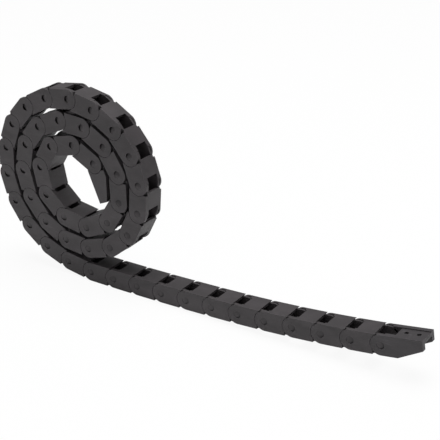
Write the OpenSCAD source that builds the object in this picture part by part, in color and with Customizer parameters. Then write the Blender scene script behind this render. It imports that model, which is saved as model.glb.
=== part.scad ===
// Cable drag chain, 10 x 10 mm inside, 48 snap links and two end brackets.
// It stands on edge: a tail that rises a little to its free end lies on the floor and runs
// into an upright coil of about two and a half wraps. X runs along the tail to its free end, Y across the chain, Z up.
// The origin is the middle of the underside of the root link, where the coil leaves the tail.

/* [Link] */
// Distance between the hinge pins of one link
pitch = 20; // [19.5:0.25:22]
// Height of a link, from floor face to top face
link_h = 13.5; // [13:0.25:14]
// Width of a link over its ears
link_w = 16.5; // [16:0.25:18]
// Width of the cable channel
channel_w = 10; // [9:0.25:10.5]
// Height of the cable channel
channel_h = 10; // [9:0.25:10.5]
// Thickness of an ear plate
ear_t = 1.5; // [1.3:0.05:1.7]
// Distance from a hinge to the nearest crossbar
bar_inset = 3.7; // [3.4:0.1:4.5]

/* [Hinge] */
// Diameter of a hinge pin
pin_d = 4.8; // [4:0.1:5.4]
// Radial play of the pin in its hole
pin_play = 0.06; // [0.04:0.01:0.1]
// Gap between an ear and the wall that it turns against
arc_gap = 0.3; // [0.2:0.05:0.5]
// Gap between an ear and the tongue inside it
side_gap = 0.15; // [0.1:0.05:0.25]
// Depth of a pin's face below the ear around it
pin_recess = 0.15; // [0.1:0.05:0.3]
// Slope of the ramp that lets the pin snap in
ramp_angle = 17; // [10:1:20]
// Largest bend of one link against the next
bend_max = 45; // [44:0.5:46]
// Gap left between stop lug and notch at either end of the travel
stop_gap = 0.08; // [0.05:0.01:0.15]

/* [End brackets] */
// Length of a bracket from its hinge to its end
bracket_l = 27; // [26:0.5:30]
// Height of the bracket's side wall at its end
bracket_end_h = 6.6; // [5.5:0.1:8]
// Distance from the hinge to where the bracket's side wall starts to taper
taper_from = 10.5; // [10:0.5:12]
// Distance from the hinge to the mounting plate
plate_from = 8.6; // [8.2:0.1:9]
// Thickness of the mounting plate
plate_t = 2.4; // [2:0.1:3]
// Depth of the mounting plate below the top of the side walls
plate_drop = 0.5; // [0.2:0.1:0.8]
// Distance from the hinge to the first screw hole
screw_from = 13.5; // [12.5:0.5:14.5]
// Distance between the two screw holes
screw_spacing = 8; // [7:0.5:9]
// Diameter of a screw hole
screw_d = 2.8; // [2.4:0.1:3.2]

/* [Lay of the chain] */
// Number of links
links = 48; // [40:1:58]
// Links in the tail, between the free bracket and the root link
tail_links = 10; // [8:1:12]
// Space left between one wrap and the next
wrap_gap = 2.25; // [2.2:0.05:2.6]
// How far the coil is out of round, as a radius
oval = 1.1; // [0.8:0.1:1.4]
// Direction in which the coil is pressed flat
oval_turn = -16; // [-24:1:-8]
// How far the inner end of the coil lies inside the chain's own bend radius
inner_nip = 1.8; // [1.2:0.1:1.9]
// Bend of the hinge behind the root link, where the coil leaves the floor
leave_bend = 9; // [8:0.5:10]
// Bend of the last hinge, which carries the inner bracket
inner_bend = 39; // [38:0.5:41]
// Least space between the inner bracket and the wrap outside it
tip_gap = 0.3; // [0.1:0.1:0.5]
// Bend of each tail hinge near the coil
tail_lift = 0.5; // [0:0.1:0.8]
// Bend of each tail hinge near the free end
end_lift = 1; // [0:0.1:1.2]
// Bend of the free bracket's hinge
bracket_lift = 1.5; // [0:0.1:2]

/* [Hidden] */
$fn = 64;
charcoal = [0.19, 0.185, 0.19];
over = 0.01;
ear_r = link_h / 2;
arc_r = ear_r + arc_gap;
tongue_r = ear_r - 0.45;
pocket_r = tongue_r + arc_gap;
wall_y = channel_w / 2;
face_y = link_w / 2;
ear_y = face_y - ear_t;
tongue_y = ear_y - side_gap;
hole_r = pin_d / 2 + pin_play;
horn_cut = 5.6;
lug_r = tongue_r - 1;
lug_half = 1.2;
ramp_from = 1;
// A swept strip is this much narrower than its circle, so that their edges cross cleanly
swept_ease = 0.02;
lift_hinges = 5;
root = tail_links + 1;
coil_from = root + 1;
bend_r = pitch / 2 / sin(bend_max / 2);
wrap_pitch = link_h + wrap_gap;
// The coil is a strip one wrap pitch wide, so its length gives its outer radius
coil_length = (links - coil_from) * pitch;
coil_r = sqrt(pow(bend_r - inner_nip, 2) + coil_length * wrap_pitch / PI);

// ---- Where the hinges are -------------------------------------------------------------

// Radius of the coil's hinge line at a turn of a degrees, clockwise from its outer end
function coil_radius(a) = coil_r - wrap_pitch * a / 360 - oval * cos(2 * a + oval_turn);

// Point of the coil's hinge line, from its outer end with the coil upright above it
function coil_point(a) =
    [-coil_radius(a) * sin(a), coil_radius(0) - coil_radius(a) * cos(a)];

// Turn at which the next hinge lies one pitch further on, found by halving
function next_turn(a, low, high, n) =
    let (mid = (low + high) / 2)
    n == 0 ? mid
    : norm(coil_point(mid) - coil_point(a)) < pitch
    ? next_turn(a, mid, high, n - 1)
    : next_turn(a, low, mid, n - 1);

coil_turns = [
    for (k = coil_from, a = 0; k <= links; k = k + 1, a = next_turn(a, a + 8, a + 70, 30)) a
];

// Bend of a tail hinge at rest
function tail_bend(k) = k == 0 ? bracket_lift : k <= lift_hinges ? end_lift : tail_lift;

// Heading of a tail link, or of the free bracket at 0
function tail_heading(k) = k >= root ? 0 : tail_heading(k + 1) + tail_bend(k);

function along(heading) = [cos(heading), sin(heading)];

function turned(point, angle) =
    point[0] * along(angle) + point[1] * along(angle + 90);

// Tail hinges count down from the root link to the free bracket at 0
function tail_pin(k) =
    k == root - 1 ? [pitch / 2, 0] : tail_pin(k + 1) + pitch * along(tail_heading(k + 1));

// Coil hinges count up from the root link to the inner bracket
function coil_pin(k) =
    k == root ? [-pitch / 2, 0]
    : coil_pin(root) - pitch * along(-leave_bend)
        + turned(coil_point(coil_turns[k - coil_from]), -leave_bend);

// A hinge's place in the X-Z plane, measured from the middle of the root link
function pin(k) = k < root ? tail_pin(k) : coil_pin(k);

// Direction from a link's ears to its tongue
function link_heading(k) = let (d = pin(k - 1) - pin(k)) atan2(d[1], d[0]);

// Distance from a point to the straight line between two others
function to_line(p, a, b) =
    let (d = b - a, t = max(0, min(1, (p - a) * d / (d * d)))) norm(p - a - t * d);

// Space between the inner bracket's two outer corners and the wrap outside it, for a bend
// of the last hinge
function bracket_space(bend) =
    let (
        heading = link_heading(links) - bend,
        corners = [[-bracket_l, ear_r - bracket_end_h], [-taper_from, -ear_r]]
    )
    min([
        for (corner = corners, k = [coil_from + 1 : links - 4])
            to_line(pin(links) + turned(corner, heading), pin(k - 1), pin(k))
    ]) - ear_r;

// Smallest bend that keeps the tip clear, found by halving
function clear_bend(low, high, n) =
    let (mid = (low + high) / 2)
    n == 0 ? high
    : bracket_space(mid) < tip_gap
    ? clear_bend(mid, high, n - 1)
    : clear_bend(low, mid, n - 1);

// The last hinge turns further in where the wraps lie too close for the straight bracket
last_bend =
    bracket_space(inner_bend) < tip_gap ? clear_bend(inner_bend, bend_max, 16) : inner_bend;

// Puts a piece with its hinge at its own origin onto hinge k, turned to a heading
module at_hinge(k, heading)
    translate([pin(k)[0], 0, pin(k)[1] + ear_r]) rotate([0, -heading, 0]) children();

// ---- Building blocks ------------------------------------------------------------------

// Outline drawn in X-Z, made solid from y0 to y1 on both sides of the chain
module both_sides(y0, y1)
    for (side = [0, 1])
        mirror([0, side, 0])
            translate([0, y1, 0]) rotate([90, 0, 0]) linear_extrude(y1 - y0) children();

// Bar across the chain between two distances along it, at a height z0 to z1
module across(x0, x1, z0, z1, half)
    translate([x0, -half, z0]) cube([x1 - x0, 2 * half, z1 - z0]);

// Cylinder across the chain
module cross_pin(r, half)
    rotate([90, 0, 0]) cylinder(r = r, h = 2 * half, center = true);

// Strip that runs out from a hinge at an angle, r to either side of it
module strip(r, angle, length)
    rotate(angle) translate([0, -r]) square([length, 2 * r]);

// Outer layer of the wall beside a tongue: room for the neighbour's round ear over its whole
// travel. The edge that this leaves is the horn, and its top is cut to meet the ear when
// the chain is fully bent.
module ear_room() {
    circle(arc_r);
    strip(arc_r, 0, pitch);
    strip(arc_r - swept_ease, bend_max, pitch);
    translate([-horn_cut, -2 * ear_r]) square([pitch, 2 * ear_r]);
}

// Room for the neighbour's tongue inside the ears, with the lug that stops it
module pocket() {
    difference() {
        union() {
            circle(pocket_r);
            strip(pocket_r, 180, pitch);
            strip(pocket_r - swept_ease, 180 - bend_max, pitch);
        }
        translate([lug_r, -lug_half]) square([2 * arc_gap + 1, 2 * lug_half]);
    }
}

// Slot in a tongue's round end in which the lug travels, from straight to fully bent
module lug_slot() {
    half = lug_half + stop_gap;
    reach = 1.6 * tongue_r;
    difference() {
        polygon([
            [0, -half],
            [reach, -half],
            reach * along(bend_max / 2),
            reach * along(bend_max) + half * along(bend_max + 90),
            half * along(bend_max + 90),
        ]);
        circle(lug_r - side_gap);
    }
}

// Hinge pins of a tongue, with a ramp on the side that goes in first
module snap_pins() {
    end_y = face_y - pin_recess;
    difference() {
        cross_pin(pin_d / 2, end_y);
        cross_pin(pin_d, wall_y);
        for (side = [0, 1])
            mirror([0, side, 0])
                translate([-ramp_from, end_y, -pin_d])
                    rotate(-ramp_angle) cube([2 * pin_d, pin_d, 2 * pin_d]);
    }
}

// Round tongue with its slot and pins, from a hinge back along the wall
module tongue(back) {
    both_sides(wall_y, tongue_y)
        difference() {
            union() {
                circle(tongue_r);
                strip(tongue_r, 180, back);
            }
            lug_slot();
        }
    snap_pins();
}

// Everything that the ears' end of a wall must leave open
module ears_cut() {
    both_sides(wall_y - side_gap, ear_y) pocket();
    cross_pin(hole_r, face_y + 1);
}

// ---- Pieces ---------------------------------------------------------------------------

// One chain link: ears at its own origin, tongue one pitch along X
module link() color(charcoal) {
    difference() {
        union() {
            both_sides(tongue_y, face_y) {
                circle(ear_r);
                difference() {
                    strip(ear_r, 0, pitch);
                    translate([pitch, 0]) ear_room();
                }
            }
            both_sides(wall_y, tongue_y) strip(ear_r, 0, pitch - bar_inset);
            for (z = [-ear_r, channel_h / 2])
                across(bar_inset, pitch - bar_inset, z, z + ear_r - channel_h / 2, wall_y + over);
        }
        ears_cut();
    }
    translate([pitch, 0, 0]) tongue(bar_inset + 1);
}

// Side wall of a bracket from a distance start beside its hinge: full height there, then
// tapered from below to its end
module bracket_outline(start)
    polygon([
        [start, -ear_r],
        [taper_from, -ear_r],
        [bracket_l, ear_r - bracket_end_h],
        [bracket_l, ear_r],
        [start, ear_r],
    ]);

// Mounting plate between a bracket's walls, with its two screw holes
module mounting_plate() {
    top = ear_r - plate_drop;
    difference() {
        across(plate_from, bracket_l, top - plate_t, top, wall_y + over);
        for (n = [0, 1])
            translate([screw_from + n * screw_spacing, 0, top - plate_t - 1])
                cylinder(d = screw_d, h = plate_t + 2);
    }
}

// Bracket at the free end: ears at its own origin, plate along X
module free_end_bracket() color(charcoal) {
    difference() {
        both_sides(wall_y, face_y) {
            circle(ear_r);
            bracket_outline(0);
        }
        ears_cut();
    }
    mounting_plate();
}

// Bracket at the inner end: tongue at its own origin, plate back along X
module inner_end_bracket() color(charcoal) {
    mirror([1, 0, 0]) {
        both_sides(wall_y, tongue_y) bracket_outline(bar_inset);
        mounting_plate();
    }
    both_sides(tongue_y, face_y)
        difference() {
            mirror([1, 0]) bracket_outline(0);
            ear_room();
        }
    tongue(bar_inset + 1);
}

// ---- Assembly -------------------------------------------------------------------------

function link_name(k) = str("link_", k < 10 ? "0" : "", k);

at_hinge(0, tail_heading(0)) free_end_bracket();
for (k = [1:links])
    at_hinge(k, link_heading(k)) link();
at_hinge(links, link_heading(links) - last_bend) inner_end_bracket();
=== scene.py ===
import math

import bpy
from mathutils import Euler, Matrix, Vector


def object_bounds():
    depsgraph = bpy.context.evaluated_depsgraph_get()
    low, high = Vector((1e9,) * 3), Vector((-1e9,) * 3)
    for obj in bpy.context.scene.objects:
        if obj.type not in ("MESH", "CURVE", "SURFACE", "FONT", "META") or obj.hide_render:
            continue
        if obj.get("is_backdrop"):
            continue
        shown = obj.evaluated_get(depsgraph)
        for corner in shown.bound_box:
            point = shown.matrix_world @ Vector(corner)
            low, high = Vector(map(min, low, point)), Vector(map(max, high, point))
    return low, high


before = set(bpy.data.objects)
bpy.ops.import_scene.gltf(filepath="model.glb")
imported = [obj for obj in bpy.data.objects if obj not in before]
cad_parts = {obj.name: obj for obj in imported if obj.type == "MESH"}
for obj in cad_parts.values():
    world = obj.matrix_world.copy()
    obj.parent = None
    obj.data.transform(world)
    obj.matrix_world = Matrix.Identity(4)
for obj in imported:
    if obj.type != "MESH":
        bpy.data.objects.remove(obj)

scene = bpy.context.scene


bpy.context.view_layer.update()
print("chain loaded:", len(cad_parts), "pieces")

# a three-quarter view from the front right, a little above the chain
camera = {
    "place": (0.4338, -0.5189, 0.3471),
    "lens": 88.8,
    "tilt": 24.2,  # degrees below level
    "turn": 33.38,  # degrees to the left of straight ahead
    "roll": -0.26,
    "sensor": 36,
    "near": 0.01,
    "far": 30,
}


def placeCamera(c):
    data = bpy.data.cameras.new("chainCamera")
    data.lens = c["lens"]
    data.sensor_width = c["sensor"]
    data.clip_start = c["near"]
    data.clip_end = c["far"]
    obj = bpy.data.objects.new("chainCamera", data)
    scene.collection.objects.link(obj)
    aim = Euler((math.radians(90 - c["tilt"]), 0, math.radians(c["turn"]))).to_matrix()
    roll = Matrix.Rotation(math.radians(c["roll"]), 3, "Z")
    obj.matrix_world = Matrix.Translation(c["place"]) @ (aim @ roll).to_4x4()
    scene.camera = obj


placeCamera(camera)
print("camera placed")


def node(tree, kind, place, values=None, **settings):
    made = tree.nodes.new(kind)
    made.location = (place[0] * 200, place[1] * 200)
    for name, value in settings.items():
        setattr(made, name, value)
    for name, value in (values or {}).items():
        made.inputs[name].default_value = value
    return made


def ramp(tree, place, stops):
    made = node(tree, "ShaderNodeValToRGB", place)
    points = made.color_ramp.elements
    while len(points) < len(stops):
        points.new(0.5)
    for point, (position, shade) in zip(points, stops):
        point.position = position
        point.color = (shade, shade, shade, 1)
    return made


def wire(tree, *pairs):
    for a, b in pairs:
        tree.links.new(a, b)


def newGroup(name, inputs, outputs):
    group = bpy.data.node_groups.new(name, "ShaderNodeTree")
    for label, kind, value in inputs:
        socket = group.interface.new_socket(label, in_out="INPUT", socket_type=kind)
        if value is not None:
            socket.default_value = value
    for label, kind in outputs:
        group.interface.new_socket(label, in_out="OUTPUT", socket_type=kind)
    return group, group.nodes.new("NodeGroupInput"), group.nodes.new("NodeGroupOutput")


# fine spark-eroded skin of a moulded part, with the soft waves that the melt leaves
def mouldedSkinGroup():
    g, start, end = newGroup(
        "mouldedSkin",
        [("Vector", "NodeSocketVector", None), ("Grain", "NodeSocketFloat", 2400.0),
         ("Flow", "NodeSocketFloat", 60.0)],
        [("Height", "NodeSocketFloat"), ("Mottle", "NodeSocketFloat")],
    )
    grain = node(g, "ShaderNodeTexNoise", (1, 1), {"Detail": 3.0, "Roughness": 0.6})
    pits = node(g, "ShaderNodeTexVoronoi", (1, 0), {"Randomness": 1.0})
    wave = node(g, "ShaderNodeTexNoise", (1, -1), {"Detail": 4.0, "Distortion": 0.8})
    stretch = node(g, "ShaderNodeMapping", (0, -1), {"Scale": (0.6, 1.0, 1.6)})
    pitted = node(g, "ShaderNodeMath", (2, 0), {1: 0.35}, operation="MULTIPLY")
    skin = node(g, "ShaderNodeMath", (3, 1), operation="ADD")
    soft = node(g, "ShaderNodeMath", (3, -1), {1: 0.6}, operation="MULTIPLY")
    height = node(g, "ShaderNodeMath", (4, 0), operation="ADD")
    wire(
        g,
        (start.outputs["Vector"], grain.inputs["Vector"]),
        (start.outputs["Vector"], pits.inputs["Vector"]),
        (start.outputs["Vector"], stretch.inputs["Vector"]),
        (stretch.outputs["Vector"], wave.inputs["Vector"]),
        (start.outputs["Grain"], grain.inputs["Scale"]),
        (start.outputs["Grain"], pits.inputs["Scale"]),
        (start.outputs["Flow"], wave.inputs["Scale"]),
        (pits.outputs["Distance"], pitted.inputs[0]),
        (grain.outputs["Fac"], skin.inputs[0]),
        (pitted.outputs[0], skin.inputs[1]),
        (wave.outputs["Fac"], soft.inputs[0]),
        (skin.outputs[0], height.inputs[0]),
        (soft.outputs[0], height.inputs[1]),
        (height.outputs[0], end.inputs["Height"]),
        (wave.outputs["Fac"], end.inputs["Mottle"]),
    )
    return g


# handling marks: thin scuffs in two directions, here and there
def scuffGroup():
    g, start, end = newGroup(
        "handlingScuffs",
        [("Vector", "NodeSocketVector", None), ("Amount", "NodeSocketFloat", 0.5)],
        [("Mask", "NodeSocketFloat")],
    )
    turned = [(0.0, 0.5, 0.0), (0.0, -0.9, 0.3)]
    streaks = []
    for row, angle in enumerate(turned):
        lay = node(g, "ShaderNodeMapping", (0, row),
                   {"Rotation": angle, "Scale": (90.0, 300.0, 1500.0)})
        line = node(g, "ShaderNodeTexNoise", (1, row), {"Scale": 1.0, "Detail": 2.0})
        cut = ramp(g, (2, row), [(0.62, 0.0), (0.72, 1.0)])
        wire(
            g,
            (start.outputs["Vector"], lay.inputs["Vector"]),
            (lay.outputs["Vector"], line.inputs["Vector"]),
            (line.outputs["Fac"], cut.inputs["Fac"]),
        )
        streaks.append(cut)
    where = node(g, "ShaderNodeTexNoise", (1, -1), {"Scale": 110.0, "Detail": 2.0})
    patches = ramp(g, (2, -1), [(0.45, 0.0), (0.65, 1.0)])
    both = node(g, "ShaderNodeMath", (3, 0), operation="MAXIMUM")
    here = node(g, "ShaderNodeMath", (4, 0), operation="MULTIPLY")
    scaled = node(g, "ShaderNodeMath", (5, 0), operation="MULTIPLY", use_clamp=True)
    wire(
        g,
        (start.outputs["Vector"], where.inputs["Vector"]),
        (where.outputs["Fac"], patches.inputs["Fac"]),
        (streaks[0].outputs["Color"], both.inputs[0]),
        (streaks[1].outputs["Color"], both.inputs[1]),
        (both.outputs[0], here.inputs[0]),
        (patches.outputs["Color"], here.inputs[1]),
        (here.outputs[0], scaled.inputs[0]),
        (start.outputs["Amount"], scaled.inputs[1]),
        (scaled.outputs[0], end.inputs["Mask"]),
    )
    return g


mouldedSkin = mouldedSkinGroup()
handlingScuffs = scuffGroup()

# one entry for each grade of the same charcoal nylon
finishes = {
    "linkNylon": {
        "dark": (0.0286, 0.0244, 0.0265),
        "light": (0.0408, 0.0349, 0.0380),
        # edge: lighter colour for a painted highlight on rims and for handling scuffs
        "edge": (0.0867, 0.0764, 0.0832),
        "rough": (0.46, 0.60),
        "grain": 2400.0,
        "flow": 60.0,
        "depth": 0.00001,
        "scuff": 0.35,
    },
    "bracketNylon": {
        "dark": (0.0275, 0.0239, 0.0265),
        "light": (0.0388, 0.0339, 0.0374),
        "edge": (0.0816, 0.0726, 0.0801),
        "rough": (0.44, 0.58),
        "grain": 2400.0,
        # edge: lighter colour for a painted highlight on rims and for handling scuffs
        "flow": 45.0,
        "depth": 0.00001,
        "scuff": 0.5,
    },
}


# how rounded rims catch the light and narrow gaps lose it, painted into the colour as a painted
# highlight and painted shade; the stops are (where, how much)
relief = {
    "rimRadius": 0.00035,
    "rimStops": [(0.90, 0.7), (0.995, 0.0)],
    "gapReach": 0.003,
    "gapStops": [(0.35, 0.05), (0.93, 1.0)],
    "mottleStops": [(0.35, 0.0), (0.65, 1.0)],
    "bump": 0.5,
}


def nylonMaterial(name, f):
    m = bpy.data.materials.new(name)
    m.use_nodes = True
    t = m.node_tree
    t.nodes.clear()
    where = node(t, "ShaderNodeTexCoord", (-1, 0))
    skin = node(t, "ShaderNodeGroup", (0, 1), node_tree=mouldedSkin)
    skin.inputs["Grain"].default_value = f["grain"]
    skin.inputs["Flow"].default_value = f["flow"]
    scuff = node(t, "ShaderNodeGroup", (0, -1), node_tree=handlingScuffs)
    scuff.inputs["Amount"].default_value = f["scuff"]
    body = node(t, "ShaderNodeMix", (2, 1), data_type="RGBA")
    body.inputs["A"].default_value = (*f["dark"], 1)
    body.inputs["B"].default_value = (*f["light"], 1)
    spread = ramp(t, (1, 1), relief["mottleStops"])
    shape = node(t, "ShaderNodeNewGeometry", (-1, 2))
    rounded = node(t, "ShaderNodeBevel", (-1, 3), {"Radius": relief["rimRadius"]},
                   samples=4)
    bent = node(t, "ShaderNodeVectorMath", (0, 2), operation="DOT_PRODUCT")
    # painted highlight: where the rounded normal turns away from the flat one, at the rims, the
    # colour goes to the lighter edge colour
    rim = ramp(t, (1, 2), relief["rimStops"])
    highlightAndScuff = node(t, "ShaderNodeMath", (2, 0), operation="MAXIMUM")
    tone = node(t, "ShaderNodeMix", (3, 1), data_type="RGBA")
    tone.inputs["B"].default_value = (*f["edge"], 1)
    # painted shade: the narrow gaps between two pieces and the inside of the channel take
    # little light, so their colour is darkened
    near = node(t, "ShaderNodeAmbientOcclusion", (2, 2), {"Distance": relief["gapReach"]},
                samples=6)
    deep = ramp(t, (3, 2), relief["gapStops"])
    paintedGapShade = node(t, "ShaderNodeMix", (4, 1), {"Factor": 1.0}, data_type="RGBA",
               blend_type="MULTIPLY")
    gloss = node(t, "ShaderNodeMapRange", (3, 0),
                 {"To Min": f["rough"][1], "To Max": f["rough"][0]})
    bump = node(t, "ShaderNodeBump", (3, -1),
                {"Strength": relief["bump"], "Distance": f["depth"]})
    shader = node(t, "ShaderNodeBsdfPrincipled", (5, 0),
                  {"IOR": 1.5, "Metallic": 0.0, "Coat Weight": 0.0})
    out = node(t, "ShaderNodeOutputMaterial", (6, 0))
    wire(
        t,
        (where.outputs["Object"], skin.inputs["Vector"]),
        (where.outputs["Object"], scuff.inputs["Vector"]),
        (skin.outputs["Mottle"], spread.inputs["Fac"]),
        (spread.outputs["Color"], body.inputs["Factor"]),
        (shape.outputs["Normal"], bent.inputs[0]),
        (rounded.outputs["Normal"], bent.inputs[1]),
        (bent.outputs["Value"], rim.inputs["Fac"]),
        (rim.outputs["Color"], highlightAndScuff.inputs[0]),
        (scuff.outputs["Mask"], highlightAndScuff.inputs[1]),
        (body.outputs["Result"], tone.inputs["A"]),
        (highlightAndScuff.outputs[0], tone.inputs["Factor"]),
        (near.outputs["AO"], deep.inputs["Fac"]),
        (tone.outputs["Result"], paintedGapShade.inputs["A"]),
        (deep.outputs["Color"], paintedGapShade.inputs["B"]),
        (paintedGapShade.outputs["Result"], shader.inputs["Base Color"]),
        (skin.outputs["Mottle"], gloss.inputs["Value"]),
        (gloss.outputs["Result"], shader.inputs["Roughness"]),
        (skin.outputs["Height"], bump.inputs["Height"]),
        (bump.outputs["Normal"], shader.inputs["Normal"]),
        (shader.outputs["BSDF"], out.inputs["Surface"]),
    )
    return m


nylon = {name: nylonMaterial(name, f) for name, f in finishes.items()}
print("finishes made:", ", ".join(nylon))

# soft moulded edges
softEdge = {"join": 0.000002, "flat": 2.0, "radius": 0.00022, "segments": 2, "sharp": 28.0}


# a CAD node's faces come apart and with normals of their own: this drops those normals
def freshNormals():
    g = bpy.data.node_groups.new("freshNormals", "GeometryNodeTree")
    g.interface.new_socket("Geometry", in_out="INPUT", socket_type="NodeSocketGeometry")
    g.interface.new_socket("Geometry", in_out="OUTPUT", socket_type="NodeSocketGeometry")
    start = node(g, "NodeGroupInput", (0, 0))
    plain = node(g, "GeometryNodeRemoveAttribute", (1, 0), {"Name": "custom_normal"})
    smooth = node(g, "GeometryNodeSetShadeSmooth", (2, 0), {"Shade Smooth": True})
    end = node(g, "NodeGroupOutput", (3, 0))
    wire(
        g,
        (start.outputs[0], plain.inputs["Geometry"]),
        (plain.outputs["Geometry"], smooth.inputs["Geometry"]),
        (smooth.outputs["Geometry"], end.inputs[0]),
    )
    return g


cleared = freshNormals()


def soften(piece, e):
    fresh = piece.modifiers.new("freshNormals", "NODES")
    fresh.node_group = cleared
    weld = piece.modifiers.new("joinFaces", "WELD")
    weld.merge_threshold = e["join"]
    flat = piece.modifiers.new("flatFaces", "DECIMATE")
    flat.decimate_type = "DISSOLVE"
    flat.angle_limit = math.radians(e["flat"])
    edge = piece.modifiers.new("softEdge", "BEVEL")
    edge.width = e["radius"]
    edge.segments = e["segments"]
    edge.limit_method = "ANGLE"
    edge.angle_limit = math.radians(e["sharp"])
    edge.use_clamp_overlap = True
    edge.harden_normals = True


for name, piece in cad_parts.items():
    finish = nylon["bracketNylon" if "bracket" in name else "linkNylon"]
    if not piece.material_slots:
        piece.data.materials.append(finish)
    for place in piece.material_slots:
        place.material = finish
    soften(piece, softEdge)
print("links and brackets finished")

# studio
studio = {
    "floor": (0.8, 0.8, 0.8),
    "span": 8,
    "drop": 0.0002,  # how far the floor lies under the chain
    "shadow": 0.08,  # share of the floor's own shading that is seen
    "sky": 0.36,
    "lamps": {
        "top": {"place": (0.1, 0.1, 1.8), "size": 1.2, "power": 32.0},
        "left": {"place": (-1.6, -1.0, 0.7), "size": 1.2, "power": 0.6},
        "front": {"place": (0.3, -1.8, 0.9), "size": 1.4, "power": 0.6},
        "right": {"place": (1.7, -0.5, 0.8), "size": 1.2, "power": 0.6},
    },
}


def whiteWhenSeen(t, shader, place, out, share=1.0):
    path = node(t, "ShaderNodeLightPath", place)
    seen = node(t, "ShaderNodeMath", (place[0] + 1, place[1]), operation="MAXIMUM")
    part = node(t, "ShaderNodeMath", (place[0] + 2, place[1]), {1: share}, operation="MULTIPLY")
    white = node(t, "ShaderNodeEmission" if out.bl_idname != "ShaderNodeOutputWorld"
                 else "ShaderNodeBackground", (place[0] + 1, place[1] - 1))
    white.inputs["Color"].default_value = (1, 1, 1, 1)
    mix = node(t, "ShaderNodeMixShader", (place[0] + 3, place[1]))
    wire(
        t,
        (path.outputs["Is Camera Ray"], seen.inputs[0]),
        (path.outputs["Is Transmission Ray"], seen.inputs[1]),
        (seen.outputs[0], part.inputs[0]),
        (part.outputs[0], mix.inputs["Fac"]),
        (shader.outputs[0], mix.inputs[1]),
        (white.outputs[0], mix.inputs[2]),
        (mix.outputs[0], out.inputs["Surface"]),
    )


def buildStudio(s):
    world = bpy.data.worlds.new("studioSky")
    scene.world = world
    world.use_nodes = True
    t = world.node_tree
    t.nodes.clear()
    sky = node(t, "ShaderNodeBackground", (0, 0), {"Color": (1, 1, 1, 1), "Strength": s["sky"]})
    whiteWhenSeen(t, sky, (0, 1), node(t, "ShaderNodeOutputWorld", (5, 0)))
    for name, l in s["lamps"].items():
        lamp = bpy.data.lights.new(name + "Lamp", "AREA")
        lamp.size = l["size"]
        lamp.energy = l["power"]
        obj = bpy.data.objects.new(name + "Lamp", lamp)
        scene.collection.objects.link(obj)
        aim = Vector(l["place"])
        obj.location = aim
        obj.rotation_euler = aim.to_track_quat("Z", "Y").to_euler()
    bpy.ops.object.select_all(action="DESELECT")
    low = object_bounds()[0][2]
    bpy.ops.mesh.primitive_plane_add(size=s["span"], location=(0, 0, low - s["drop"]))
    floor = bpy.context.object
    floor.name = "studioFloor"
    bpy.ops.object.transform_apply(location=True, rotation=True, scale=True)
    m = bpy.data.materials.new("paperWhite")
    m.use_nodes = True
    paper = m.node_tree.nodes["Principled BSDF"]
    paper.inputs["Base Color"].default_value = (*s["floor"], 1)
    paper.inputs["Roughness"].default_value = 0.9
    paper.inputs["Specular IOR Level"].default_value = 0.1
    t = m.node_tree
    out = t.nodes["Material Output"]
    whiteWhenSeen(t, paper, (0, 3), out, 1 - s["shadow"])
    floor.data.materials.append(m)
    floor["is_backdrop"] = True


buildStudio(studio)
scene.view_settings.view_transform = "Standard"
print("studio lit")
